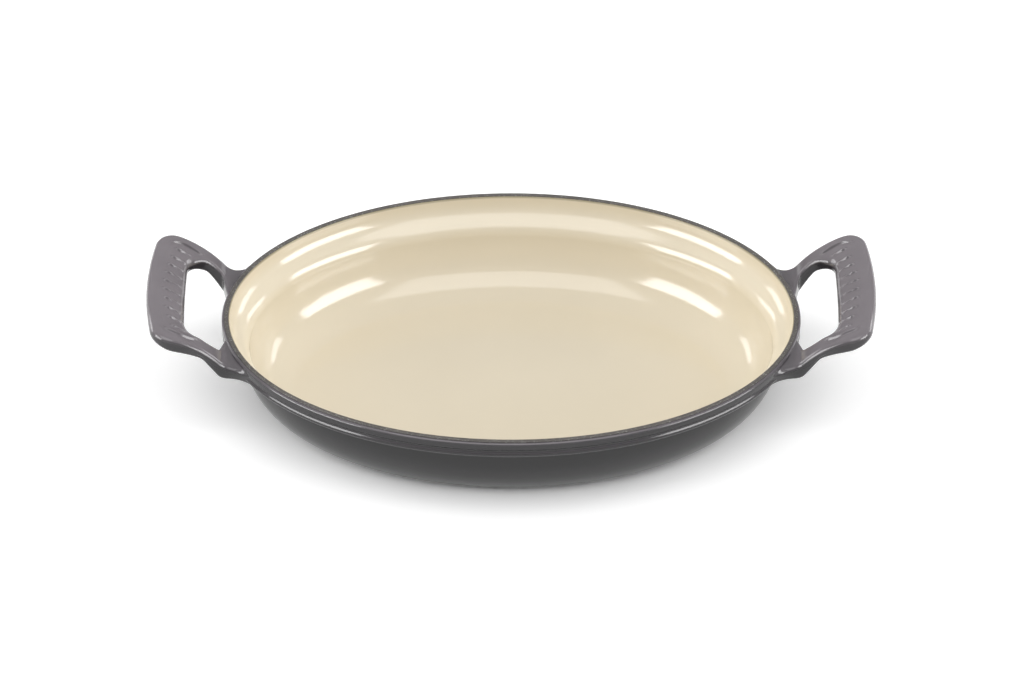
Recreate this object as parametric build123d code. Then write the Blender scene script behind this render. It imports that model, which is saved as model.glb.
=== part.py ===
from build123d import *
import math
import os

# An oval gratin dish: one iron casting with two loop handles, coated with glass enamel.
# X runs along the dish through both handles, Y across it and Z up. The origin is on the
# surface that the dish stands on, below the middle. Lengths are in millimetres.

# Rim, measured over the enamel
rim_length = 280.0
rim_width = 200.0
dish_height = 47.4
rim_thickness = 3.7
rim_edge_radius = 1.3
rim_lip_radius = 0.3

# Thickness of the coats of enamel
glaze = 0.4

# Band under the rim: a straight lip, a groove and a bead.
# Depths are measured down from the rim top, insets inwards from the rim's outer edge.
lip_depth = 3.7
lip_inset = 0.1
groove_depth = 4.8
groove_inset = 0.8
bead_start_depth = 5.7
bead_start_inset = 0.55
bead_depth = 7.0
bead_inset = 0.15
band_depth = 8.3
band_inset = 1.1

# Bowl wall below the band
wall_inset = 9.1
wall_thickness = 4.0
cove_depth = 12.9
cove_radius = 4.5
belly_depth = 15.5
belly_radius = 37.5
base_radius = 4.0

# Inside of the well
well_lean = 0.66
well_cove_depth = 7.5
well_cove_radius = 10.0
ledge_depth = 13.6
ledge_radius = 8.0
floor_height = 4.6
floor_cove_radius = 22.0

# Foot ring under the base
foot_ring_inset = 34.0
foot_ring_height = 1.2
foot_ring_slope = 1.6

# Where the swept wall hands over to the plain middle of the floor
sweep_inset = 50.0
floor_overlap = 6.0
overrun = 10.0

# Handle seen from above: reaches are measured outwards from the end of the rim
handle_reach = 35.6
corner_reach = 31.0
corner_half_span = 45.6
corner_radius = 10.5
arm_root_reach = -1.0
arm_root_half_span = 38.9
flare_half_span = 43.2
flare_sink = 0.4
root_sink = 4.0

# Finger gap seen from above
gap_reach = 18.0
gap_corner_reach = 17.0
gap_corner_half_span = 31.6
gap_corner_radius = 13.0
gap_root_reach = 0.4
gap_root_half_span = 29.3
gap_root_radius = 2.5
gap_back_reach = -3.4
gap_back_half_span = 8.0

# Handle seen from the side: rises are measured upwards from the rim top
root_top_rise = -1.9
root_bottom_rise = -9.2
crown_reach = -0.6
crown_rise = 1.6
crown_slope = 50.0
crown_end_reach = 40.0
crown_end_rise = 20.9
ramp_reach = -1.6
ramp_radius = 4.2
ramp_slope = 57.0
ramp_length = 9.2
under_radius = 9.0
under_slope = 30.0
under_end_reach = 40.0
under_end_rise = 14.6
outer_rounding = 2.6
gap_rounding = 2.0

# Ribs across each grip
ribs_each_side = 5
rib_pitch = 6.75
rib_radius = 0.9
rib_rise = 0.5
rib_reach = 23.4
rib_sweep = 5.4
rib_half_length = 4.2
end_rib_half_length = 3.4
rib_turn_share = 1.15

# How far through the rim's wall the handles reach, as a share of its thickness
handle_seat_share = 0.8

half_length = rim_length / 2
half_width = rim_width / 2


def at(inset, depth):
    """A point of the wall's section, from its inset and its depth."""
    return (half_length - inset, dish_height - depth)


def belly_point(radius, depth):
    """The point of the belly's outer or inner arc at a depth."""
    drop = depth - belly_depth
    return at(wall_inset + belly_radius - math.sqrt(radius * radius - drop * drop), depth)


def belly_arc(radius, start_depth, end_depth):
    """The stretch of the belly's outer or inner arc between two depths."""
    middle_depth = (start_depth + end_depth) / 2
    return ThreePointArc(*[belly_point(radius, depth) for depth in (start_depth, middle_depth, end_depth)])


def base_tangent_inset():
    """How far in the rounding at the foot of the wall runs into the flat of the foot ring."""
    return half_length - belly_point(belly_radius - base_radius, dish_height - base_radius)[0]


def round_corner(face, corner, radius):
    """Rounds the corner of a face that lies nearest to a point."""
    return fillet(face.vertices().sort_by_distance(corner)[0], radius)


def window(inset_low, inset_high, depth_low, depth_high):
    """A rectangle of the section plane between two insets and two depths."""
    middle = at((inset_low + inset_high) / 2, (depth_low + depth_high) / 2)
    return Pos(*middle) * Rectangle(inset_high - inset_low, depth_high - depth_low)


def outer_section(coat):
    """Everything inside the outer surface, drawn in by the thickness of a coat."""
    ceiling_depth = dish_height - foot_ring_height
    slope_inset = foot_ring_inset + foot_ring_slope
    far_inset = sweep_inset + overrun
    lip = at(lip_inset, lip_depth)
    bead_start = at(bead_start_inset, bead_start_depth)
    band = at(band_inset, band_depth)
    cove = belly_point(belly_radius, cove_depth)
    base = belly_point(belly_radius, dish_height)
    face = make_face(
        [
            Line(at(far_inset, 0), at(0, 0)),
            Line(at(0, 0), lip),
            ThreePointArc(lip, at(groove_inset, groove_depth), bead_start),
            ThreePointArc(bead_start, at(bead_inset, bead_depth), band),
            Line(band, cove),
            belly_arc(belly_radius, cove_depth, dish_height),
            Line(base, at(foot_ring_inset, dish_height)),
            Line(at(foot_ring_inset, dish_height), at(slope_inset, ceiling_depth)),
            Line(at(slope_inset, ceiling_depth), at(far_inset, ceiling_depth)),
            Line(at(far_inset, ceiling_depth), at(far_inset, 0)),
        ]
    )
    face = round_corner(face, at(0, 0), rim_edge_radius)
    face = round_corner(face, cove, cove_radius)
    face = round_corner(face, base, base_radius)
    return offset(face, -coat, kind=Kind.INTERSECTION) if coat else face


def well_section(coat):
    """The hollow of the well up to above the rim, grown by the thickness of a coat."""
    radius = belly_radius - wall_thickness
    floor_depth = dish_height - floor_height
    far_inset = sweep_inset + overrun
    lip = at(rim_thickness, -overrun)
    cove = at(rim_thickness + well_lean, well_cove_depth)
    ledge = belly_point(radius, ledge_depth)
    floor_edge = belly_point(radius, floor_depth)
    face = make_face(
        [
            Line(at(far_inset, -overrun), lip),
            Line(lip, at(rim_thickness, 0)),
            Line(at(rim_thickness, 0), cove),
            Line(cove, ledge),
            belly_arc(radius, ledge_depth, floor_depth),
            Line(floor_edge, at(far_inset, floor_depth)),
            Line(at(far_inset, floor_depth), at(far_inset, -overrun)),
        ]
    )
    face = round_corner(face, cove, well_cove_radius)
    face = round_corner(face, ledge, ledge_radius)
    face = round_corner(face, floor_edge, floor_cove_radius)
    return offset(face, coat, kind=Kind.INTERSECTION) if coat else face


def swept(section):
    """Carries a section round the oval of the rim."""
    return sweep(Plane.XZ * section, path=Wire([Edge.make_ellipse(half_length, half_width)]))


def floor_disc(low, high):
    """The plain middle of the floor between two heights."""
    inset = sweep_inset - floor_overlap
    return Pos(0, 0, low) * extrude(Ellipse(half_length - inset, half_width - inset), high - low)


def handle_outline(coat):
    """The handle's outline from above, with no gap, drawn in by the thickness of a coat."""
    rim_share = math.sqrt(1 - (flare_half_span / half_width) ** 2)
    flare_x = half_length * rim_share - flare_sink
    corner = (half_length + corner_reach, corner_half_span)
    arm_root = (half_length + arm_root_reach, arm_root_half_span)
    flare = (flare_x, flare_half_span)
    back = (flare_x - root_sink, flare_half_span)
    arm = Vector(arm_root) - Vector(corner)
    side = [Line(back, flare), TangentArc(arm_root, flare, tangent=arm), Line(arm_root, corner)]
    nose = ThreePointArc(corner, (half_length + handle_reach, 0), (corner[0], -corner[1]))
    back_edge = Line(back, (back[0], -back[1]))
    face = make_face(side + [mirror(edge, Plane.XZ) for edge in side] + [nose, back_edge])
    for sign in (1, -1):
        face = round_corner(face, (corner[0], sign * corner[1]), corner_radius)
    return offset(face, -coat, kind=Kind.INTERSECTION) if coat else face


def gap_outline(coat):
    """The finger gap's outline from above, grown by the thickness of a coat."""
    corner = (half_length + gap_corner_reach, gap_corner_half_span)
    root = (half_length + gap_root_reach, gap_root_half_span)
    back = (half_length + gap_back_reach, gap_back_half_span)
    side = [Line(corner, root), Line(root, back)]
    front = ThreePointArc(corner, (half_length + gap_reach, 0), (corner[0], -corner[1]))
    back_edge = Line(back, (back[0], -back[1]))
    face = make_face(side + [mirror(edge, Plane.XZ) for edge in side] + [front, back_edge])
    for sign in (1, -1):
        face = round_corner(face, (corner[0], sign * corner[1]), gap_corner_radius)
        face = round_corner(face, (root[0], sign * root[1]), gap_root_radius)
    return offset(face, coat, kind=Kind.INTERSECTION) if coat else face


def crown_arc():
    """The long curve of the handle's top in the section plane, from the root to the grip."""
    slope = math.radians(crown_slope)
    start = (half_length + crown_reach, dish_height + crown_rise)
    end = (half_length + crown_end_reach, dish_height + crown_end_rise)
    return TangentArc(start, end, tangent=(math.cos(slope), math.sin(slope)))


def handle_side(coat):
    """The handle seen from the side, drawn in by the thickness of a coat."""
    back_x = half_length - rim_thickness - sweep_inset
    top_z = dish_height + root_top_rise
    bottom_z = dish_height + root_bottom_rise
    crown = crown_arc()
    slope = math.radians(crown_slope)
    cove_radius_top = (crown_rise - root_top_rise) / (1 - math.cos(slope))
    cove_start = ((crown @ 0).X - cove_radius_top * math.sin(slope), top_z)
    cove = TangentArc(cove_start, crown @ 0, tangent=(1, 0))
    top = Line((back_x, top_z), cove_start)
    bottom = Line((back_x, bottom_z), (half_length + ramp_reach, bottom_z))
    ramp_bend = JernArc(bottom @ 1, bottom % 1, ramp_radius, ramp_slope)
    ramp = Line(ramp_bend @ 1, ramp_bend @ 1 + ramp_bend % 1 * ramp_length)
    under_bend = JernArc(ramp @ 1, ramp % 1, under_radius, under_slope - ramp_slope)
    under_end = (half_length + under_end_reach, dish_height + under_end_rise)
    under = TangentArc(under_bend @ 1, under_end, tangent=under_bend % 1)
    nose = Line(crown @ 1, under @ 1)
    back = Line(top @ 0, bottom @ 0)
    face = make_face([top, cove, crown, nose, under, under_bend, ramp, ramp_bend, bottom, back])
    return offset(face, -coat, kind=Kind.INTERSECTION) if coat else face


def grip_ribs():
    """The raised ribs across the grip at the +X end."""
    crown = crown_arc()
    pivot = crown.arc_center
    ribs = []
    for number in range(2 * ribs_each_side):
        rib_y = (number + 0.5 - ribs_each_side) * rib_pitch
        share = abs(rib_y) / (ribs_each_side * rib_pitch)
        middle_x = half_length + rib_reach - rib_sweep * share * share
        half = rib_half_length + (end_rib_half_length - rib_half_length) * share
        crest_radius = 1 / (2 * rib_rise / (half * half) + 1 / crown.radius)
        lean = math.asin((middle_x - pivot.X) / crown.radius)
        lift = crown.radius + rib_rise - crest_radius
        centre_x = pivot.X + lift * math.sin(lean)
        centre_z = pivot.Y + lift * math.cos(lean)
        half_turn = math.degrees(half / crest_radius) * rib_turn_share
        start = Pos(centre_x, rib_y, centre_z) * Rot(0, math.degrees(lean) - half_turn, 0)
        profile = start * Pos(0, 0, crest_radius - rib_radius) * (Plane.YZ * Circle(rib_radius))
        turning = Axis((centre_x, rib_y, centre_z), (0, 1, 0))
        ribs.append(revolve(profile, turning, 2 * half_turn))
    return ribs


def handle(coat):
    """The handle at the +X end, drawn in by the thickness of a coat."""
    low = dish_height + root_bottom_rise - overrun
    height = crown_end_rise - root_bottom_rise + 2 * overrun
    bar = extrude(Plane.XZ * handle_side(coat), corner_half_span + overrun, both=True)
    blank = Pos(0, 0, low) * extrude(handle_outline(coat), height) & bar
    edges = blank.edges()
    blank = fillet(edges - edges.filter_by(Axis.Y) - edges.filter_by(Axis.Z), outer_rounding - coat)
    gap = Pos(0, 0, low) * extrude(gap_outline(coat), height)
    loop = blank - gap
    edges = new_edges(blank, gap, combined=loop)
    loop = fillet(edges - edges.filter_by(Axis.Z), gap_rounding - coat)
    inset = rim_thickness * handle_seat_share
    inside = Pos(0, 0, low) * extrude(Ellipse(half_length - inset, half_width - inset), height)
    return loop - inside


def iron_casting():
    """The iron body: wall, floor and both handles in one casting."""
    section = (outer_section(glaze) - well_section(glaze)) & window(0, sweep_inset, 0, dish_height)
    floor = floor_disc(foot_ring_height + glaze, floor_height - glaze)
    core = handle(glaze)
    return swept(section) + floor + [core, mirror(core, Plane.YZ)]


def interior_enamel():
    """The cream coat inside the well, up to the rim."""
    reach = window(0, sweep_inset, 0, dish_height)
    section = (well_section(glaze) - well_section(0)) & reach
    section = round_corner(section, at(rim_thickness, 0), rim_lip_radius)
    return swept(section) + floor_disc(floor_height - glaze, floor_height)


def rim_enamel():
    """The matt coat on the flat of the rim."""
    return swept(window(rim_edge_radius, rim_thickness - glaze, 0, glaze))


def foot_enamel():
    """The coat under the foot ring and the base, with the ring's tread cut level."""
    reach = window(base_tangent_inset(), sweep_inset, belly_depth, dish_height)
    section = (outer_section(0) - outer_section(glaze)) & reach
    tread = window(base_tangent_inset(), foot_ring_inset, dish_height - glaze, dish_height + glaze)
    ring = split(swept(section + tread), Plane.XY, keep=Keep.TOP)
    return ring + floor_disc(foot_ring_height, foot_ring_height + glaze)


def exterior_enamel(casting):
    """The dark coat over the outside of the bowl and both handles, with the ribs of the grips."""
    flat_top = window(rim_edge_radius, sweep_inset, 0, glaze)
    reach = window(0, base_tangent_inset(), 0, dish_height)
    section = (outer_section(0) - outer_section(glaze)) & reach - flat_top
    coated = handle(0) + grip_ribs()
    return swept(section) + [coated, mirror(coated, Plane.YZ)] - casting


def main():
    os.makedirs("parts", exist_ok=True)
    casting = iron_casting()
    nodes = {
        "iron_casting": casting,
        "interior_enamel": interior_enamel(),
        "exterior_enamel": exterior_enamel(casting),
        "rim_enamel": rim_enamel(),
        "foot_enamel": foot_enamel(),
    }
    for name, solid in nodes.items():
        export_step(solid, f"parts/{name}.step")


main()
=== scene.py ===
import math

import bmesh
import bpy
import numpy as np
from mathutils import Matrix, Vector


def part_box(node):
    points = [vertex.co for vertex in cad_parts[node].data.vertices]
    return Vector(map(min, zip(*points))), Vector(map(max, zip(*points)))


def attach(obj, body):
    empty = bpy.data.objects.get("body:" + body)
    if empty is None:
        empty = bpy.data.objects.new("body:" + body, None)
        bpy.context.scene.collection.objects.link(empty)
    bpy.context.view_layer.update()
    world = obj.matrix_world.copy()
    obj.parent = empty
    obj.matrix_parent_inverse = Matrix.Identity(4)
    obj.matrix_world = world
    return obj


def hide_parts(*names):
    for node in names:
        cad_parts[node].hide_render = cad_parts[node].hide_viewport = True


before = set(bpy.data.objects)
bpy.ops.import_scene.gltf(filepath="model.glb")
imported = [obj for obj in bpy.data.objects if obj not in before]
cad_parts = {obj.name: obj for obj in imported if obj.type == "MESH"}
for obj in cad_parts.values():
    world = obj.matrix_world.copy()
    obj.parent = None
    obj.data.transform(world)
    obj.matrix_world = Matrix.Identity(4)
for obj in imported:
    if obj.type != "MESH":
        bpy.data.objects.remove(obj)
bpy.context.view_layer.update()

# Shapes are worked out in millimetres and written to the meshes in metres.
MM = 0.001

# Driving sizes, read from the frame
rim_low, rim_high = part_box("rim_enamel")
coat_low, coat_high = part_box("exterior_enamel")
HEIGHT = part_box("interior_enamel")[1].z / MM
HALF_WIDTH = coat_high.y / MM
HALF_LENGTH = HALF_WIDTH + (rim_high.x - rim_high.y) / MM
GLAZE = (rim_high.z - rim_low.z) / MM

# Wall section: insets from the rim's outer edge and depths below the rim top
RIM_THICKNESS = 3.7
RIM_EDGE = 1.3
LIP_END = (0.1, 3.7)
GROOVE = (0.8, 4.8)
BEAD_START = (0.55, 5.7)
BEAD = (0.15, 7.0)
BAND_END = (1.1, 8.3)
WALL_INSET = 9.1
WALL_THICKNESS = 4.0
COVE_DEPTH = 12.9
COVE_RADIUS = 4.5
BELLY_DEPTH = 15.5
BELLY_RADIUS = 37.5
BASE_RADIUS = 4.0
WELL_COVE = (4.36, 7.5)
WELL_COVE_RADIUS = 10.0
LEDGE_DEPTH = 13.6
LEDGE_RADIUS = 8.0
FLOOR_HEIGHT = 4.6
FLOOR_COVE_RADIUS = 22.0
FOOT_RING_INSET = 34.0
FOOT_RING_HEIGHT = 1.2
FOOT_RING_SLOPE = 1.6
FLAT_INSET = 46.0
LIP_RADIUS = 0.6
FOOT_RING_ROUNDING = 0.8
SOFT_CORNER = 0.35
CORNER_LIMIT = 0.9
TINY = 1e-4

# How the bowl's meshes are spread: points in an arc, steps along a profile and segments round the oval
BELLY_COUNT = 60
COVE_COUNT = 24
CORNER_COUNT = 16
PROFILE_STEP = 1.5
OVAL_SEGMENTS = 320
BOWL_SEGMENTS = 480
CENTRE_RINGS = 24
CENTRE_SHARE = 0.02

# Handle from above, as reaches past the end of the rim and half spans
HANDLE_REACH = 35.6
CORNER = (31.0, 43.3)
CORNER_RADIUS = 10.5
ARM_ROOT = (-1.0, 39.8)
FLARE_HALF_SPAN = 45.8
FLARE_SINK = 0.4
GAP_REACH = 17.3
GAP_CORNER = (16.3, 35.8)
GAP_CORNER_RADIUS = 19.0
GAP_ROOT = (0.4, 29.3)
GAP_ROOT_RADIUS = 2.5
GAP_START = 10.0
ROOT_INSET = 3.2

# Handle from the side, as reaches past the end of the rim and rises above the rim top
ROOT_TOP = -1.9
ROOT_BOTTOM = -10.4
CROWN_START = (-0.6, 1.6)
CROWN_SLOPE = 50.0
CROWN_END = (40.0, 20.9)
RAMP_REACH = -4.0
RAMP_RADIUS = 6.0
RAMP_SLOPE = 56.0
RAMP_LENGTH = 10.25
UNDER_RADIUS = 9.0
UNDER_SLOPE = 30.0
UNDER_END = (40.0, 14.6)
INNER_RUN = 40.0
GAP_ROUNDING = 2.2
ARM_ROUNDING = 2.4
NOSE_REACH = 5.0
NOSE_FALL = 4.0
NOSE_UNDER = 3.1
ARM_LEAN = 2.0
LEAN_REACH = (8.0, 24.0)
ROOT_FILLET = 1.6
RIM_CLEARANCE = 0.5

# Ribs of the grip, side by side from its middle, and how far they fade at their two ends
RIBS_EACH_SIDE = 5
RIB_PITCH = 6.75
RIB_HALF_WIDTH = 1.2
RIB_RISE = 1.35
RIB_CREST = 0.55
RIB_ENDS = (0.5, 1.2)
RIB_REACH = 23.4
RIB_SWEEP = 5.4
RIB_HALF_LENGTH = 4.2
RIB_SHORTENING = 0.8

# The long crease at each end of the ribs, as reaches and half spans, and how far it fades
CREASE = ((9.5, 33.2), (20.5, 35.5), (27.8, 32.7))
CREASE_START_FADE = (-0.5, 3.0)
CREASE_END_FADE = 5.0

# How the top of the grip rolls over towards the finger gap
ROLL_REACH = 11.0
ROLL_FALL = 2.6
ROLL_CURVE = 1.3
ROLL_START = (8.0, 16.0)

# How a handle's mesh is spread from the rim, at 0, to the middle of the grip, at 1
LANDMARKS = (0.26, 0.62)
GRIP_SHARE = 0.56
ROOT_SHARE = 0.26
NOSE_BLEND = (0.5, 0.7)
ARM_RINGS = 90
GRIP_RINGS = 210
TOP_ROWS = 44
TOP_EDGE_ROWS = 9
UNDER_ROWS = 12
UNDER_EDGE_ROWS = 6
ROOT_SEGMENTS = 1440
ROOT_COUNT = 60
SIDE_COUNT = 41
CROWN_COUNT = 60
UNDER_COUNT = 40
CREASE_COUNT = 40

# Colours, in linear light
CREAM = (0.74, 0.663, 0.518)
CREAM_DEEP = (0.72, 0.643, 0.497)
LIP_TAN = (0.30, 0.26, 0.17)
# Outer enamel by height, from near black at the foot to violet-grey at the handle tops. The first ramp is
# a darker copy with painted shade, for faces that turn sideways or down. The second is a lighter copy with
# painted light and painted sky reflection, for faces that look up.
SHADED_FADE_STOPS = [
    (0.0, (0.002, 0.0019, 0.0021)),
    (0.2, (0.003, 0.0028, 0.0032)),
    (0.5, (0.008, 0.0073, 0.0083)),
    (1.0, (0.05, 0.045, 0.05)),
]
LIT_FADE_STOPS = [
    (0.0, (0.02, 0.018, 0.021)),
    (0.55, (0.07, 0.064, 0.07)),
    (0.75, (0.163, 0.148, 0.16)),
    (1.0, (0.195, 0.176, 0.19)),
]
RIM_BROWN = (0.105, 0.096, 0.087)
RIM_SPECK = (0.30, 0.29, 0.28)
FOOT_BLACK = (0.018, 0.017, 0.018)
FOOT_SPECK = (0.05, 0.048, 0.05)
IRON = (0.035, 0.033, 0.031)
IRON_PALE = (0.07, 0.066, 0.062)
BLACK = (0, 0, 0)
WHITE = (1, 1, 1)
GLAZE_SHADE = (0.88, 0.88, 0.88)
COAT_SHADE = (0.8, 0.8, 0.8)

# The table, as it lights the dish and as the camera and reflections see it
PAPER = (0.5, 0.5, 0.5)
PAPER_SEEN = (1.2, 1.2, 1.2)

# Where the colours change: millimetres below the rim, millimetres above the table, the upward share of
# a face's direction over which painted shade gives way to painted light, and the spread of a noise
LIP_LINE = 1.2
FADE_TOP = 68.0
PAINTED_SHADE_FACING = (0.1, 0.75)
NOISE_SPREAD = (0.3, 0.7)
SPECK_SPREAD = (0.42, 0.68)
SPECK_SHARE = 0.6

# Noises, as scales per metre and levels of detail
CREAM_CLOUD = (14.0, 3.0)
CREAM_RIPPLE = (70.0, 1.5)
GLAZE_CLOUD = (55.0, 3.0)
GLAZE_RIPPLE = (160.0, 2.0)
COAT_CLOUD = (90.0, 3.0)
COAT_GRAINS = (1500.0, 2.0)
IRON_GRAINS = (900.0, 4.0)

# Bumps, as strengths and depths in millimetres
CREAM_BUMP = (0.25, 0.25)
GLAZE_BUMP = (0.3, 0.15)
COAT_BUMP = (0.35, 0.08)
IRON_BUMP = (0.5, 0.1)

# Gloss
ENAMEL_ROUGHNESS = 0.12
CREAM_IOR = 1.6
GLAZE_IOR = 1.52
COAT_ROUGHNESS = 0.55
IRON_ROUGHNESS = 0.6
IRON_METALLIC = 0.6

# Stage, in metres. The sky's stops run from straight down to straight up.
FLOOR_HALF = 6.0
SKY_STOPS = [
    (0.0, (0.08, 0.08, 0.08)),
    (0.5, (0.12, 0.12, 0.12)),
    (0.62, (0.38, 0.38, 0.38)),
    (0.8, (0.62, 0.62, 0.62)),
    (1.0, (0.6, 0.6, 0.6)),
]

# Soft boxes: azimuth from +X towards +Y and elevation, in degrees, then distance, size and radiance.
# The side, back and wing boxes stand on the right, and each has its mirror image on the left.
SIDE_BOX = (-27.0, 18.5, 2.6, (1.8, 1.3), 8.2)
BACK_BOX = (30.0, 14.0, 2.6, (1.1, 0.9), 4.2)
WING_BOX = (0.0, 12.0, 2.6, (2.2, 1.2), 3.6)
TOP_BOX = (270.0, 62.0, 2.4, (2.4, 1.8), 2.1)

# Camera, in millimetres and degrees, with its clip distance in metres
CAMERA_DISTANCE = 3200.0
CAMERA_ELEVATION = 37.96
CAMERA_PIVOT = 20.0
CAMERA_LENS = 231.6
CAMERA_SENSOR = 36.0
CAMERA_CLIP = 100.0
CAMERA_AIM = (0.38, 0.0, 31.4)


def point(inset, depth):
    return np.array((inset, depth), float)


def arc(centre, radius, start, end, count=12):
    """Points of an arc from one angle to another, in degrees."""
    angles = np.radians(np.linspace(start, end, count))
    return np.column_stack((centre[0] + radius * np.cos(angles), centre[1] + radius * np.sin(angles)))


def arc_through(a, b, c, count=12):
    """Points of the arc from a to c that passes through b."""
    a, b, c = (np.asarray(p, float) for p in (a, b, c))
    sides = 2 * np.array((b - a, c - a))
    centre = np.linalg.solve(sides, (b @ b - a @ a, c @ c - a @ a))
    radius = np.linalg.norm(a - centre)
    first, middle, last = (math.degrees(math.atan2(*(p - centre)[::-1])) for p in (a, b, c))
    span = (last - first) % 360
    if (middle - first) % 360 > span:
        span -= 360
    return arc(centre, radius, first, first + span, count)


def bend(start, heading, radius, turn, count=12):
    """Points of an arc that leaves a point at a heading and turns by an angle, in degrees."""
    side = math.copysign(90, turn)
    towards = math.radians(heading + side)
    centre = np.asarray(start, float) + radius * np.array((math.cos(towards), math.sin(towards)))
    return arc(centre, radius, heading - side, heading - side + turn, count)


def tangent_arc(start, heading, end, count=24):
    """Points of the arc that leaves a point at a heading and ends at another point."""
    chord = np.asarray(end, float) - np.asarray(start, float)
    off = math.degrees(math.atan2(chord[1], chord[0])) - heading
    off = (off + 180) % 360 - 180
    radius = np.linalg.norm(chord) / (2 * math.sin(math.radians(abs(off))))
    return bend(start, heading, radius, 2 * off, count)


def line(a, b, count=2):
    return np.linspace(np.asarray(a, float), np.asarray(b, float), count)


def lengths_along(path):
    steps = np.linalg.norm(np.diff(path, axis=0), axis=1)
    return np.concatenate(([0.0], np.cumsum(steps)))


def at_lengths(path, where):
    """The points of a path at given lengths along it."""
    run = lengths_along(path)
    return np.column_stack([np.interp(where, run, path[:, k]) for k in range(path.shape[1])])


def trimmed(path, start, end):
    """A path without its first and last stretches, given as lengths."""
    run = lengths_along(path)
    inner = run[(run > start) & (run < run[-1] - end)]
    return at_lengths(path, np.concatenate(([start], inner, [run[-1] - end])))


def heading_at(path, last):
    step = path[-1] - path[-2] if last else path[1] - path[0]
    return step / np.linalg.norm(step)


def joined(pieces, radii, count=10):
    """Joins paths end to end and rounds each corner between them to about a radius."""
    reaches = []
    for before, after, radius in zip(pieces, pieces[1:], radii):
        turn = math.acos(np.clip(heading_at(before, True) @ heading_at(after, False), -1, 1))
        limit = min(lengths_along(before)[-1], lengths_along(after)[-1])
        reaches.append(min(radius * math.tan(turn / 2), CORNER_LIMIT * limit))
    parts = []
    for k, path in enumerate(pieces):
        start = reaches[k - 1] if k else 0.0
        end = reaches[k] if k < len(reaches) else 0.0
        parts.append(trimmed(path, start, end))
        if k < len(reaches) and reaches[k] > TINY:
            step = heading_at(parts[-1], True)
            heading = math.degrees(math.atan2(step[1], step[0]))
            end = at_lengths(pieces[k + 1], [reaches[k]])[0]
            parts.append(tangent_arc(parts[-1][-1], heading, end, count)[1:-1])
    path = np.vstack(parts)
    keep = np.concatenate(([True], np.linalg.norm(np.diff(path, axis=0), axis=1) > TINY))
    return path[keep]


def resampled(path, step):
    """Adds points to a path until no step is longer than a given one, and keeps its own points."""
    rows = [path[:1]]
    for a, b in zip(path, path[1:]):
        count = max(1, math.ceil(np.linalg.norm(b - a) / step))
        rows.append(np.linspace(a, b, count + 1)[1:])
    return np.vstack(rows)


def shifted(path, distance):
    """A path moved sideways, to the left of its own direction."""
    heading = np.gradient(path, axis=0)
    heading /= np.linalg.norm(heading, axis=1)[:, None]
    return path + distance * np.column_stack((-heading[:, 1], heading[:, 0]))


def belly_inset(radius, depth):
    return WALL_INSET + BELLY_RADIUS - math.sqrt(radius**2 - (depth - BELLY_DEPTH) ** 2)


def belly_arc(radius, start, end):
    depths = (start, (start + end) / 2, end)
    return arc_through(*[point(belly_inset(radius, d), d) for d in depths], count=BELLY_COUNT)


def belly_cove(radius, cove_radius, level):
    """Points of the arc that takes the belly into a level."""
    depth = level - cove_radius
    drop = depth - BELLY_DEPTH
    inset = belly_inset(radius - cove_radius, depth)
    start = math.degrees(math.atan2(drop, inset - WALL_INSET - BELLY_RADIUS))
    return arc(point(inset, depth), cove_radius, start, 90, COVE_COUNT)


def outer_profile():
    """The outside of the wall, from the edge of the rim's flat to the foot ring."""
    base = belly_cove(BELLY_RADIUS, BASE_RADIUS, HEIGHT)
    pieces = [
        arc(point(RIM_EDGE, RIM_EDGE), RIM_EDGE, -90, -180, 10),
        line(point(0, RIM_EDGE), LIP_END),
        arc_through(LIP_END, GROOVE, BEAD_START),
        arc_through(BEAD_START, BEAD, BAND_END),
        line(BAND_END, point(belly_inset(BELLY_RADIUS, COVE_DEPTH), COVE_DEPTH)),
        belly_arc(BELLY_RADIUS, COVE_DEPTH, base[0][1]),
        base,
    ]
    return joined(pieces, [0, SOFT_CORNER, SOFT_CORNER, SOFT_CORNER, COVE_RADIUS, 0])


def well_profile():
    """The inside of the well, from the flat of the rim to the flat of the floor."""
    radius = BELLY_RADIUS - WALL_THICKNESS
    floor = HEIGHT - FLOOR_HEIGHT
    ledge = point(belly_inset(radius, LEDGE_DEPTH), LEDGE_DEPTH)
    cove = belly_cove(radius, FLOOR_COVE_RADIUS, floor)
    pieces = [
        line(point(RIM_THICKNESS - GLAZE, 0), point(RIM_THICKNESS, 0)),
        line(point(RIM_THICKNESS, 0), WELL_COVE),
        line(WELL_COVE, ledge, 6),
        belly_arc(radius, LEDGE_DEPTH, cove[0][1]),
        cove,
        line(cove[-1], point(FLAT_INSET, floor), 12),
    ]
    return joined(pieces, [LIP_RADIUS, WELL_COVE_RADIUS, LEDGE_RADIUS, 0, 0], CORNER_COUNT)


def foot_profile():
    """The foot ring and the base inside it."""
    base_inset = belly_inset(BELLY_RADIUS - BASE_RADIUS, HEIGHT - BASE_RADIUS)
    ceiling = HEIGHT - FOOT_RING_HEIGHT
    slope_end = point(FOOT_RING_INSET + FOOT_RING_SLOPE, ceiling)
    pieces = [
        line(point(base_inset, HEIGHT), point(FOOT_RING_INSET, HEIGHT)),
        line(point(FOOT_RING_INSET, HEIGHT), slope_end),
        line(slope_end, point(FLAT_INSET, ceiling)),
    ]
    return joined(pieces, [FOOT_RING_ROUNDING, FOOT_RING_ROUNDING])


def rim_profile():
    """The flat of the rim."""
    return line(point(RIM_EDGE, 0), point(RIM_THICKNESS - GLAZE, 0), 6)


def oval_ring(inset, depth, share, segments):
    """One ring round the oval: a curve parallel to the rim, drawn in to a share of its size."""
    turn = np.linspace(0, 2 * math.pi, segments, endpoint=False)
    base = np.column_stack((HALF_LENGTH * np.cos(turn), HALF_WIDTH * np.sin(turn)))
    inward = -np.column_stack((HALF_WIDTH * np.cos(turn), HALF_LENGTH * np.sin(turn)))
    inward /= np.linalg.norm(inward, axis=1)[:, None]
    place = (base + inset * inward) * share
    return np.column_stack((place, np.full(segments, HEIGHT - depth)))


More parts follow.
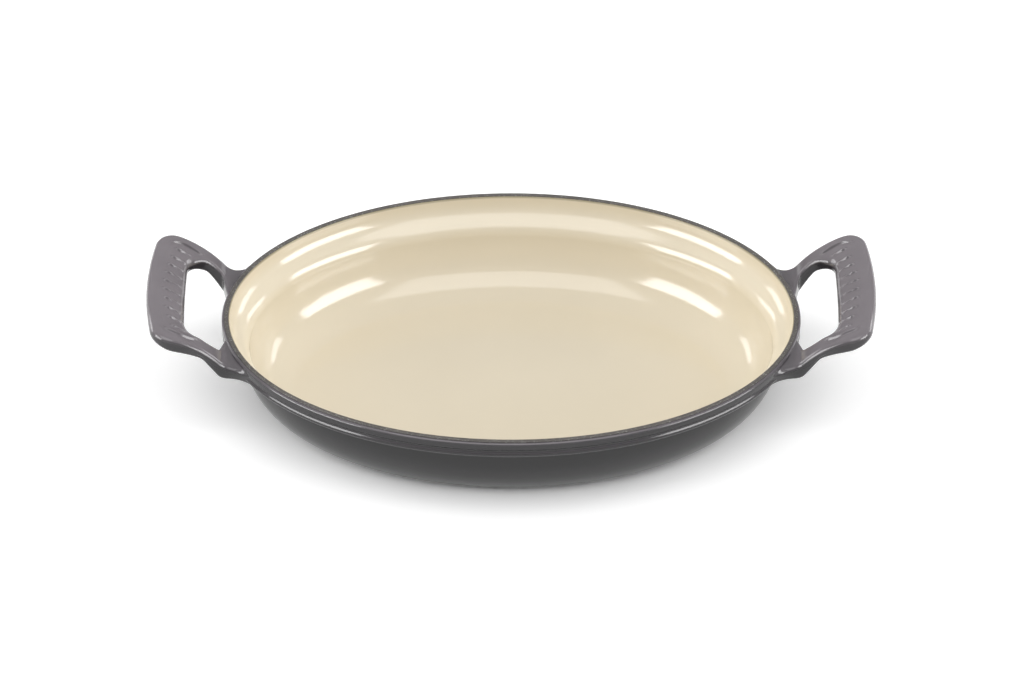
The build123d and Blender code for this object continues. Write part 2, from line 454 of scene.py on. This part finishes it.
def make_object(name, *parts):
    """A smooth-shaded mesh object from closed parts, each of points in millimetres and faces."""
    points, faces = [], []
    for places, loops in parts:
        faces += [tuple(k + len(points) for k in loop) for loop in loops]
        points += (np.asarray(places) * MM).tolist()
    mesh = bpy.data.meshes.new(name)
    mesh.from_pydata(points, [], faces)
    work = bmesh.new()
    work.from_mesh(mesh)
    bmesh.ops.recalc_face_normals(work, faces=work.faces)
    work.to_mesh(mesh)
    work.free()
    mesh.shade_smooth()
    obj = bpy.data.objects.new(name, mesh)
    bpy.context.scene.collection.objects.link(obj)
    return obj


def ring_faces(rings, segments, gap=None):
    """Quads between rows of points, where each row runs once round and the last joins the first."""
    faces = []
    for k in range(rings):
        if k == gap:
            continue
        a, b = k * segments, (k + 1) % rings * segments
        for j in range(segments):
            n = (j + 1) % segments
            faces.append((a + j, a + n, b + n, b + j))
    return faces


def oval_mesh(front, back, segments=OVAL_SEGMENTS, filled=False):
    """Points and faces of the shape between two profiles carried round the oval.

    A filled one also spans the middle of the oval.
    """
    front = resampled(front, PROFILE_STEP)
    back = resampled(back[::-1], PROFILE_STEP)
    rows = [(p[0], p[1], 1.0) for p in front]
    shares = np.linspace(1.0, CENTRE_SHARE, CENTRE_RINGS)[1:] if filled else []
    rows += [(front[-1][0], front[-1][1], s) for s in shares]
    gap = len(rows) - 1 if filled else None
    rows += [(back[0][0], back[0][1], s) for s in shares[::-1]]
    rows += [(p[0], p[1], 1.0) for p in back]
    points = np.vstack([oval_ring(*row, segments) for row in rows])
    faces = ring_faces(len(rows), segments, gap)
    if filled:
        faces.append(tuple(range(gap * segments, (gap + 1) * segments)))
        faces.append(tuple(range((gap + 1) * segments, (gap + 2) * segments)))
    return points, faces


def coat_mesh(profile, side, segments=OVAL_SEGMENTS, filled=False):
    """A coat of even thickness whose face follows a profile. The side is 1 or -1."""
    return oval_mesh(profile, shifted(profile, side * GLAZE), segments, filled)


def casting_mesh():
    """The iron wall and floor inside the coats."""
    inside = shifted(well_profile(), GLAZE)
    outside = shifted(np.vstack((outer_profile(), foot_profile()[1:])), -GLAZE)
    return oval_mesh(inside, outside, filled=True)


def smooth_step(value, low, high):
    share = np.clip((value - low) / (high - low), 0, 1)
    return share * share * (3 - 2 * share)


def distance_to(path, points):
    """How far each point lies from a path in the plane."""
    start, step = path[:-1], np.diff(path, axis=0)
    length = (step**2).sum(axis=1)
    nearest = np.full(len(points), np.inf)
    for a, d, squared in zip(start, step, length):
        share = np.clip(((points - a) @ d) / squared, 0, 1)[:, None]
        nearest = np.minimum(nearest, np.linalg.norm(points - a - share * d, axis=1))
    return nearest


def past_rim(reach, y):
    """A point from its reach past the end of the rim and its place across the dish."""
    return np.array((HALF_LENGTH + reach, y), float)


def root_curve(low, high, count):
    """The curve inside the rim's wall where a handle starts, between two places across the dish."""
    quarter = ROOT_SEGMENTS // 4 + 1
    ring = oval_ring(ROOT_INSET, 0, 1.0, ROOT_SEGMENTS)[:quarter, :2]
    y = np.linspace(low, high, count)
    return np.column_stack((np.interp(y, ring[:, 1], ring[:, 0]), y))


def across_middle(corner, middle):
    """The arc from a corner of the grip to its middle, which would run on to the corner's mirror image."""
    return arc_through(corner, middle, corner * (1, -1), 2 * SIDE_COUNT - 1)[:SIDE_COUNT]


def gap_side():
    """The edge of the finger gap from the rim to the middle of the grip."""
    corner = past_rim(*GAP_CORNER)
    across = across_middle(corner, past_rim(GAP_REACH, 0))
    start = root_curve(GAP_START, FLARE_HALF_SPAN, 2)[0]
    root = past_rim(*GAP_ROOT)
    pieces = [line(start, root), line(root, corner), across]
    return joined(pieces, [GAP_ROOT_RADIUS, GAP_CORNER_RADIUS], CORNER_COUNT)


def outer_side():
    """The outer edge of a handle from the rim to the middle of the grip."""
    corner = past_rim(*CORNER)
    arm_root = past_rim(*ARM_ROOT)
    flare_x = HALF_LENGTH * math.sqrt(1 - (FLARE_HALF_SPAN / HALF_WIDTH) ** 2) - FLARE_SINK
    flare = np.array((flare_x, FLARE_HALF_SPAN))
    heading = math.degrees(math.atan2(*(arm_root - corner)[::-1]))
    sweep = tangent_arc(arm_root, heading, flare)[::-1]
    nose = across_middle(corner, past_rim(HANDLE_REACH, 0))
    start = root_curve(GAP_START, FLARE_HALF_SPAN, 2)[1]
    pieces = [line(start, flare), sweep, line(arm_root, corner), nose]
    return joined(pieces, [0, 0, CORNER_RADIUS], CORNER_COUNT)


def marked(path, marks, shares):
    """Points of a path at shares of it, where the marks lie at the shares in LANDMARKS."""
    run = lengths_along(path)
    places = [run[np.argmin(np.linalg.norm(path - mark, axis=1))] for mark in marks]
    known = [0.0, *LANDMARKS, 1.0]
    return at_lengths(path, np.interp(shares, known, [0.0] + places + [run[-1]]))


def crown_path():
    """The top of a handle seen from the side, as places along the dish and heights."""
    rise = CROWN_START[1] - ROOT_TOP
    radius = rise / (1 - math.cos(math.radians(CROWN_SLOPE)))
    start = past_rim(CROWN_START[0], HEIGHT + CROWN_START[1])
    low = start - (radius * math.sin(math.radians(CROWN_SLOPE)), rise)
    cove = bend(low, 0, radius, CROWN_SLOPE)
    end = past_rim(CROWN_END[0], HEIGHT + CROWN_END[1])
    crown = tangent_arc(start, CROWN_SLOPE, end, CROWN_COUNT)
    return np.vstack((low - (INNER_RUN, 0), cove, crown[1:]))


def under_path():
    """The underside of a handle seen from the side."""
    start = past_rim(RAMP_REACH, HEIGHT + ROOT_BOTTOM)
    turn = bend(start, 0, RAMP_RADIUS, RAMP_SLOPE)
    slope = math.radians(RAMP_SLOPE)
    top = turn[-1] + RAMP_LENGTH * np.array((math.cos(slope), math.sin(slope)))
    over = bend(top, RAMP_SLOPE, UNDER_RADIUS, UNDER_SLOPE - RAMP_SLOPE)
    end = past_rim(UNDER_END[0], HEIGHT + UNDER_END[1])
    tail = tangent_arc(over[-1], UNDER_SLOPE, end, UNDER_COUNT)
    return np.vstack((start - (INNER_RUN, 0), turn, over, tail[1:]))


def edge_drop(distance, reach, depth):
    """How far a rounded edge falls below the surface at a distance from the edge."""
    share = np.clip(1 - distance / reach, 0, 1)
    return depth * (1 - np.sqrt(1 - share**2))


def rim_distance(points):
    """Roughly how far points lie outside the rim's oval."""
    share = np.sqrt((points[:, 0] / HALF_LENGTH) ** 2 + (points[:, 1] / HALF_WIDTH) ** 2)
    slope = np.sqrt((points[:, 0] / HALF_LENGTH**2) ** 2 + (points[:, 1] / HALF_WIDTH**2) ** 2) / share
    return (share - 1) / slope


def round_bar(distance):
    """The height of a rounded rib at a distance from its middle."""
    share = np.clip(distance / RIB_HALF_WIDTH, -1, 1)
    return RIB_RISE * (1 + np.cos(math.pi * share)) / 2


def rib_height(points):
    """The raised ribs on a grip, with the long crease at each end of it."""
    x, y = points[:, 0] - HALF_LENGTH, np.abs(points[:, 1])
    total = np.zeros(len(points))
    for number in range(RIBS_EACH_SIDE):
        place = (number + 0.5) * RIB_PITCH
        share = place / (RIBS_EACH_SIDE * RIB_PITCH)
        middle = RIB_REACH - RIB_SWEEP * share**2
        half = RIB_HALF_LENGTH - RIB_SHORTENING * share
        crest = middle + RIB_CREST * half
        fade = np.interp(x, (middle - half - RIB_ENDS[0], crest), (0, 1))
        fade = fade * (1 - smooth_step(x, crest, middle + half + RIB_ENDS[1]))
        total = np.maximum(total, round_bar(y - place) * fade)
    return np.maximum(total, crease_height(x, y))


def crease_height(x, y):
    """The long raised crease at the end of the ribs."""
    path = arc_through(*CREASE, CREASE_COUNT)
    start, end = CREASE[0][0], CREASE[-1][0]
    fade = smooth_step(x, start + CREASE_START_FADE[0], start + CREASE_START_FADE[1])
    fade = fade * (1 - smooth_step(x, end - CREASE_END_FADE, end))
    return round_bar(distance_to(path, np.column_stack((x, y)))) * fade


def rows_across(widths, low, high, edge, middle):
    """Shares across each ring of a handle, closer together on the two rounded edges."""
    turn = 1 - np.cos(np.linspace(0, math.pi / 2, edge))
    first = np.outer(low / widths, turn)
    last = 1 - np.outer(high / widths, turn[::-1])
    between = np.linspace(0, 1, middle + 2)[None, 1:-1]
    gap = last[:, :1] - first[:, -1:]
    return np.hstack((first, first[:, -1:] + gap * between, last))


def spread_across(inner, outer, rows, shares):
    """Points in plan between the two sides of a handle, which starts along the curve of the rim."""
    across = rows[..., None]
    curve = root_curve(inner[0][1], outer[0][1], ROOT_COUNT)
    lengths = lengths_along(curve)[-1]
    bulge = at_lengths(curve, rows.ravel() * lengths).reshape(*rows.shape, 2)
    bulge -= (1 - across) * curve[0] + across * curve[-1]
    fade = np.maximum(0, 1 - shares / ROOT_SHARE) ** 2
    return (1 - across) * inner[:, None] + across * outer[:, None] + bulge * fade[:, None, None]


def top_height(points, gap_edge, outer_edge, reach, fall):
    """The top of a handle: its rise, its rounded edges, its ribs and the hollow where it meets the rim."""
    height = np.interp(points[:, 0], *crown_path().T)
    outside = rim_distance(points)
    room = np.clip((HEIGHT - RIM_CLEARANCE - height) / ROOT_FILLET, 0, 1)
    height += edge_drop(np.maximum(outside, 0), ROOT_FILLET, ROOT_FILLET) * room
    height += rib_height(points) - edge_drop(gap_edge, GAP_ROUNDING, GAP_ROUNDING)
    height -= edge_drop(outer_edge, reach, fall)
    grip = smooth_step(points[:, 0] - HALF_LENGTH, *ROLL_START)
    height -= ROLL_FALL * grip * np.clip(1 - gap_edge / ROLL_REACH, 0, 1) ** ROLL_CURVE
    lid = HEIGHT - RIM_CLEARANCE + (1 - smooth_step(-outside, 0, RIM_CLEARANCE)) * HANDLE_REACH
    return np.minimum(height, lid)


def under_height(points, gap_edge, outer_edge, low_edge):
    """The underside of a handle with its rounded edges."""
    height = np.interp(points[:, 0], *under_path().T)
    height += edge_drop(gap_edge, GAP_ROUNDING, GAP_ROUNDING)
    return height + edge_drop(outer_edge, low_edge, low_edge)


def cap_faces(top, low):
    """Triangles that close the first ring of a handle, between its top and its underside."""
    count = len(top) + len(low)
    faces = []
    i = j = 0
    while i < len(top) - 1 or j < len(low) - 1:
        on_top = j == len(low) - 1 or (i < len(top) - 1 and top[i + 1] <= low[j + 1])
        faces.append((i, i + 1, count - 1 - j) if on_top else (i, count - 2 - j, count - 1 - j))
        i, j = (i + 1, j) if on_top else (i, j + 1)
    return faces


def handle_mesh(sign, coat=0.0):
    """Points and faces of the loop handle at one end of the dish, drawn in by a coat."""
    inner_path = shifted(gap_side(), coat)
    outer_path = shifted(outer_side(), -coat)
    arm = np.linspace(0, GRIP_SHARE, ARM_RINGS)[:-1]
    shares = np.concatenate((arm, np.linspace(GRIP_SHARE, 1, GRIP_RINGS)))
    inner = marked(inner_path, [past_rim(*GAP_ROOT), past_rim(*GAP_CORNER)], shares)
    outer = marked(outer_path, [past_rim(*ARM_ROOT), past_rim(*CORNER)], shares)
    widths = np.linalg.norm(outer - inner, axis=1)
    soft = smooth_step(shares, *NOSE_BLEND)
    reach = ARM_ROUNDING + (NOSE_REACH - ARM_ROUNDING) * soft - coat
    fall = ARM_ROUNDING + (NOSE_FALL - ARM_ROUNDING) * soft - coat
    low_edge = ARM_ROUNDING + (NOSE_UNDER - ARM_ROUNDING) * soft - coat
    gap_whole = np.vstack((inner_path, inner_path[-2::-1] * (1, -1)))
    outer_whole = np.vstack((outer_path, outer_path[-2::-1] * (1, -1)))
    top_rows = rows_across(widths, GAP_ROUNDING, reach, TOP_EDGE_ROWS, TOP_ROWS)
    low_rows = rows_across(widths, GAP_ROUNDING, low_edge, UNDER_EDGE_ROWS, UNDER_ROWS)
    layers = []
    for rows, is_top in ((top_rows, True), (low_rows[:, ::-1], False)):
        plan = spread_across(inner, outer, rows, shares)
        flat = plan.reshape(-1, 2)
        count = rows.shape[1]
        edges = (distance_to(gap_whole, flat), distance_to(outer_whole, flat))
        if is_top:
            edge = (np.repeat(reach, count), np.repeat(fall, count))
            height = top_height(flat, *edges, *edge) - coat
        else:
            height = under_height(flat, *edges, np.repeat(low_edge, count)) + coat
            lean = ARM_LEAN * (1 - smooth_step(flat[:, 0] - HALF_LENGTH, *LEAN_REACH))
            lean *= smooth_step(flat[:, 1], 0, GAP_CORNER[1]) * rows.reshape(-1)
            flat = flat - np.column_stack((np.zeros(len(flat)), lean))
        layers.append(np.column_stack((flat, height)).reshape(len(shares), count, 3))
    rings = np.concatenate(layers, axis=1)
    rings = np.concatenate((rings, rings[-2::-1] * (1, -1, 1)))
    count = rings.shape[1]
    last_ring = len(rings) - 1
    faces = ring_faces(len(rings), count, last_ring)
    cap = cap_faces(top_rows[0], low_rows[0])
    faces += cap
    faces += [tuple(k + last_ring * count for k in face) for face in cap]
    return rings.reshape(-1, 3) * (sign, 1, 1), faces


# Materials

def new_material(name):
    """An empty node material with one principled shader. Returns it and the shader."""
    material = bpy.data.materials.new(name)
    material.use_nodes = True
    nodes = material.node_tree.nodes
    nodes.clear()
    shader = nodes.new("ShaderNodeBsdfPrincipled")
    output = nodes.new("ShaderNodeOutputMaterial")
    material.node_tree.links.new(shader.outputs["BSDF"], output.inputs["Surface"])
    return material, shader


def place_in(material, axis=None):
    """The place on the object in metres, or one axis of it."""
    nodes, links = material.node_tree.nodes, material.node_tree.links
    where = nodes.new("ShaderNodeTexCoord").outputs["Object"]
    if axis is None:
        return where
    split = nodes.new("ShaderNodeSeparateXYZ")
    links.new(where, split.inputs["Vector"])
    return split.outputs[axis]


def noise_in(material, scale, detail):
    """Noise in space, from about 0 to 1."""
    noise = material.node_tree.nodes.new("ShaderNodeTexNoise")
    noise.inputs["Scale"].default_value = scale
    noise.inputs["Detail"].default_value = detail
    material.node_tree.links.new(place_in(material), noise.inputs["Vector"])
    return noise.outputs["Fac"]


def set_stops(ramp, stops):
    """Fills a colour ramp from shares and colours."""
    elements = ramp.color_ramp.elements
    while len(elements) < len(stops):
        elements.new(1.0)
    for element, (share, colour) in zip(elements, stops):
        element.position = share
        element.color = (*colour, 1)


def ramp_in(material, value, low, high, stops):
    """Colours along a value that runs from low to high. Stops are shares and colours."""
    nodes, links = material.node_tree.nodes, material.node_tree.links
    scaled = nodes.new("ShaderNodeMapRange")
    scaled.inputs["From Min"].default_value = low
    scaled.inputs["From Max"].default_value = high
    links.new(value, scaled.inputs["Value"])
    ramp = nodes.new("ShaderNodeValToRGB")
    set_stops(ramp, stops)
    links.new(scaled.outputs["Result"], ramp.inputs["Fac"])
    return ramp.outputs["Color"]


def mixed_in(material, factor, a, b, mode="MIX"):
    """Two colours mixed by a factor. Either can be a colour or a socket."""
    nodes, links = material.node_tree.nodes, material.node_tree.links
    mix = nodes.new("ShaderNodeMix")
    mix.data_type = "RGBA"
    mix.blend_type = mode
    colour_sockets = [socket for socket in mix.inputs if socket.type == "RGBA"]
    for socket, value in zip([mix.inputs[0]] + colour_sockets, (factor, a, b)):
        if isinstance(value, bpy.types.NodeSocket):
            links.new(value, socket)
        else:
            socket.default_value = (*value, 1) if socket.type == "RGBA" else value
    return [socket for socket in mix.outputs if socket.type == "RGBA"][0]


def bump_in(material, height, strength, depth):
    """Presses a height into a shader's normals, at a depth in millimetres."""
    nodes, links = material.node_tree.nodes, material.node_tree.links
    bump = nodes.new("ShaderNodeBump")
    bump.inputs["Strength"].default_value = strength
    bump.inputs["Distance"].default_value = depth * MM
    links.new(height, bump.inputs["Height"])
    return bump.outputs["Normal"]


def cloud_in(material, noise, first, second):
    """Soft clouds of two colours."""
    return ramp_in(material, noise_in(material, *noise), *NOISE_SPREAD, [(0, first), (1, second)])


def interior_glaze():
    """Glossy cream enamel, thinner and browner at the very lip."""
    material, shader = new_material("interior_glaze")
    links = material.node_tree.links
    cloud = cloud_in(material, CREAM_CLOUD, CREAM, CREAM_DEEP)
    height = place_in(material, "Z")
    lip = ramp_in(material, height, (HEIGHT - LIP_LINE) * MM, HEIGHT * MM, [(0, BLACK), (1, WHITE)])
    links.new(mixed_in(material, lip, cloud, LIP_TAN), shader.inputs["Base Color"])
    ripple = noise_in(material, *CREAM_RIPPLE)
    links.new(bump_in(material, ripple, *CREAM_BUMP), shader.inputs["Normal"])
    shader.inputs["Roughness"].default_value = ENAMEL_ROUGHNESS
    shader.inputs["IOR"].default_value = CREAM_IOR
    return material


def exterior_glaze():
    """Glossy enamel fading by height from near black at the foot to violet-grey above, with painted shade
    on faces that turn sideways or down and painted light on faces that look up.
    """
    material, shader = new_material("exterior_glaze")
    nodes, links = material.node_tree.nodes, material.node_tree.links
    height = place_in(material, "Z")
    # Two copies of the height fade: a darker one with painted shade, and a lighter one with painted light
    # and painted sky sheen.
    dark = ramp_in(material, height, 0, FADE_TOP * MM, SHADED_FADE_STOPS)
    light = ramp_in(material, height, 0, FADE_TOP * MM, LIT_FADE_STOPS)
    facing = nodes.new("ShaderNodeSeparateXYZ")
    normal = nodes.new("ShaderNodeNewGeometry").outputs["Normal"]
    links.new(normal, facing.inputs["Vector"])
    # Painted light and shade: faces that look up take the lighter copy of the fade, and faces that turn
    # sideways or down take the darker one.
    lit_share = ramp_in(material, facing.outputs["Z"], *PAINTED_SHADE_FACING, [(0, BLACK), (1, WHITE)])
    fade = mixed_in(material, lit_share, dark, light)
    cloud = cloud_in(material, GLAZE_CLOUD, GLAZE_SHADE, WHITE)
    links.new(mixed_in(material, 1.0, fade, cloud, "MULTIPLY"), shader.inputs["Base Color"])
    ripple = noise_in(material, *GLAZE_RIPPLE)
    links.new(bump_in(material, ripple, *GLAZE_BUMP), shader.inputs["Normal"])
    shader.inputs["Roughness"].default_value = ENAMEL_ROUGHNESS
    shader.inputs["IOR"].default_value = GLAZE_IOR
    return material


def ground_coat(name, colour, speck):
    """Matt enamel with fine specks."""
    material, shader = new_material(name)
    links = material.node_tree.links
    grains = noise_in(material, *COAT_GRAINS)
    stops = [(0, colour), (SPECK_SHARE, colour), (1, speck)]
    specks = ramp_in(material, grains, *SPECK_SPREAD, stops)
    cloud = cloud_in(material, COAT_CLOUD, COAT_SHADE, WHITE)
    links.new(mixed_in(material, 1.0, specks, cloud, "MULTIPLY"), shader.inputs["Base Color"])
    links.new(bump_in(material, grains, *COAT_BUMP), shader.inputs["Normal"])
    shader.inputs["Roughness"].default_value = COAT_ROUGHNESS
    return material


def bare_iron():
    """Rough dark casting."""
    material, shader = new_material("iron")
    links = material.node_tree.links
    grains = noise_in(material, *IRON_GRAINS)
    iron = ramp_in(material, grains, *NOISE_SPREAD, [(0, IRON), (1, IRON_PALE)])
    links.new(iron, shader.inputs["Base Color"])
    links.new(bump_in(material, grains, *IRON_BUMP), shader.inputs["Normal"])
    shader.inputs["Roughness"].default_value = IRON_ROUGHNESS
    shader.inputs["Metallic"].default_value = IRON_METALLIC
    return material


def floor_material():
    """A plain tabletop: white paper to the camera and in reflections, and grey to the light."""
    material = bpy.data.materials.new("floor")
    material.use_nodes = True
    nodes, links = material.node_tree.nodes, material.node_tree.links
    nodes.clear()
    path = nodes.new("ShaderNodeLightPath")
    seen = path.outputs["Is Camera Ray"]
    for kind in ("Is Glossy Ray", "Is Transmission Ray"):
        either = nodes.new("ShaderNodeMath")
        either.operation = "MAXIMUM"
        links.new(seen, either.inputs[0])
        links.new(path.outputs[kind], either.inputs[1])
        seen = either.outputs["Value"]
    paper = nodes.new("ShaderNodeBsdfDiffuse")
    links.new(mixed_in(material, seen, PAPER, PAPER_SEEN), paper.inputs["Color"])
    output = nodes.new("ShaderNodeOutputMaterial")
    links.new(paper.outputs["BSDF"], output.inputs["Surface"])
    return material


# Stage

def add_floor():
    mesh = bpy.data.meshes.new("floor")
    corners = [(x * FLOOR_HALF, y * FLOOR_HALF, 0) for x, y in ((-1, -1), (1, -1), (1, 1), (-1, 1))]
    mesh.from_pydata(corners, [], [(0, 1, 2, 3)])
    floor = bpy.data.objects.new("floor", mesh)
    bpy.context.scene.collection.objects.link(floor)
    floor.data.materials.append(floor_material())


def add_light(name, azimuth, elevation, distance, size, radiance):
    """A rectangular soft box that faces the dish."""
    data = bpy.data.lights.new(name, "AREA")
    data.shape = "RECTANGLE"
    data.size, data.size_y = size
    data.energy = radiance * math.pi * size[0] * size[1]
    light = bpy.data.objects.new(name, data)
    turn, lift = math.radians(azimuth), math.radians(elevation)
    away = Vector((math.cos(turn) * math.cos(lift), math.sin(turn) * math.cos(lift), math.sin(lift)))
    light.location = away * distance
    light.rotation_euler = away.to_track_quat("Z", "Y").to_euler()
    bpy.context.scene.collection.objects.link(light)
    return light


def add_pair(name, azimuth, *setting):
    """A soft box on the right and its mirror image on the left."""
    right = add_light(f"{name}_right", azimuth, *setting)
    left = add_light(f"{name}_left", 180 - azimuth, *setting)
    return right, left


def add_lights():
    """The side boxes show only as highlights, and the wings only as soft light."""
    for light in add_pair("side", *SIDE_BOX):
        light.visible_diffuse = False
    add_pair("back", *BACK_BOX)
    for light in add_pair("wing", *WING_BOX):
        light.visible_glossy = False
    add_light("overhead", *TOP_BOX)


def add_world():
    """Soft light from above that fades towards the horizon."""
    world = bpy.data.worlds.new("world")
    world.use_nodes = True
    nodes, links = world.node_tree.nodes, world.node_tree.links
    split = nodes.new("ShaderNodeSeparateXYZ")
    links.new(nodes.new("ShaderNodeTexCoord").outputs["Generated"], split.inputs["Vector"])
    scaled = nodes.new("ShaderNodeMapRange")
    scaled.inputs["From Min"].default_value = -1.0
    links.new(split.outputs["Z"], scaled.inputs["Value"])
    ramp = nodes.new("ShaderNodeValToRGB")
    set_stops(ramp, SKY_STOPS)
    links.new(scaled.outputs["Result"], ramp.inputs["Fac"])
    links.new(ramp.outputs["Color"], nodes["Background"].inputs["Color"])
    bpy.context.scene.world = world


def add_camera():
    data = bpy.data.cameras.new("camera")
    data.lens = CAMERA_LENS
    data.sensor_width = CAMERA_SENSOR
    data.clip_end = CAMERA_CLIP
    camera = bpy.data.objects.new("camera", data)
    lift = math.radians(CAMERA_ELEVATION)
    back = Vector((0, -math.cos(lift), math.sin(lift)))
    camera.location = (back * CAMERA_DISTANCE + Vector((0, 0, CAMERA_PIVOT))) * MM
    aim = Vector(CAMERA_AIM) * MM
    camera.rotation_euler = (aim - camera.location).to_track_quat("-Z", "Y").to_euler()
    bpy.context.scene.collection.objects.link(camera)
    bpy.context.scene.camera = camera


def add_piece(name, node, slot, material, *parts):
    """A piece of the dish, from its closed parts, in place of a plain node."""
    piece = make_object(name, *parts)
    piece.data.materials.append(material)
    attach(piece, "root")
    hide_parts(node)


def add_casting():
    parts = [casting_mesh(), handle_mesh(1, GLAZE), handle_mesh(-1, GLAZE)]
    add_piece("iron_body", "iron_casting", "iron", bare_iron(), *parts)


def add_coats():
    well = coat_mesh(well_profile(), 1, filled=True)
    add_piece("interior_coat", "interior_enamel", "interior_glaze", interior_glaze(), well)
    foot = coat_mesh(foot_profile(), -1, filled=True)
    foot_finish = ground_coat("foot_coat", FOOT_BLACK, FOOT_SPECK)
    add_piece("foot_coat", "foot_enamel", "foot_coat", foot_finish, foot)
    rim = coat_mesh(rim_profile(), -1)
    rim_finish = ground_coat("rim_coat", RIM_BROWN, RIM_SPECK)
    add_piece("rim_coat", "rim_enamel", "rim_coat", rim_finish, rim)
    bowl = coat_mesh(outer_profile(), -1, BOWL_SEGMENTS)
    glaze = exterior_glaze()
    add_piece("bowl_coat", "exterior_enamel", "exterior_glaze", glaze, bowl)
    for name, sign in (("handle_right", 1), ("handle_left", -1)):
        add_piece(name, "exterior_enamel", "exterior_glaze", glaze, handle_mesh(sign))


def main():
    add_casting()
    add_coats()
    add_floor()
    add_world()
    add_lights()
    add_camera()
    bpy.context.scene.view_settings.view_transform = "Standard"


main()
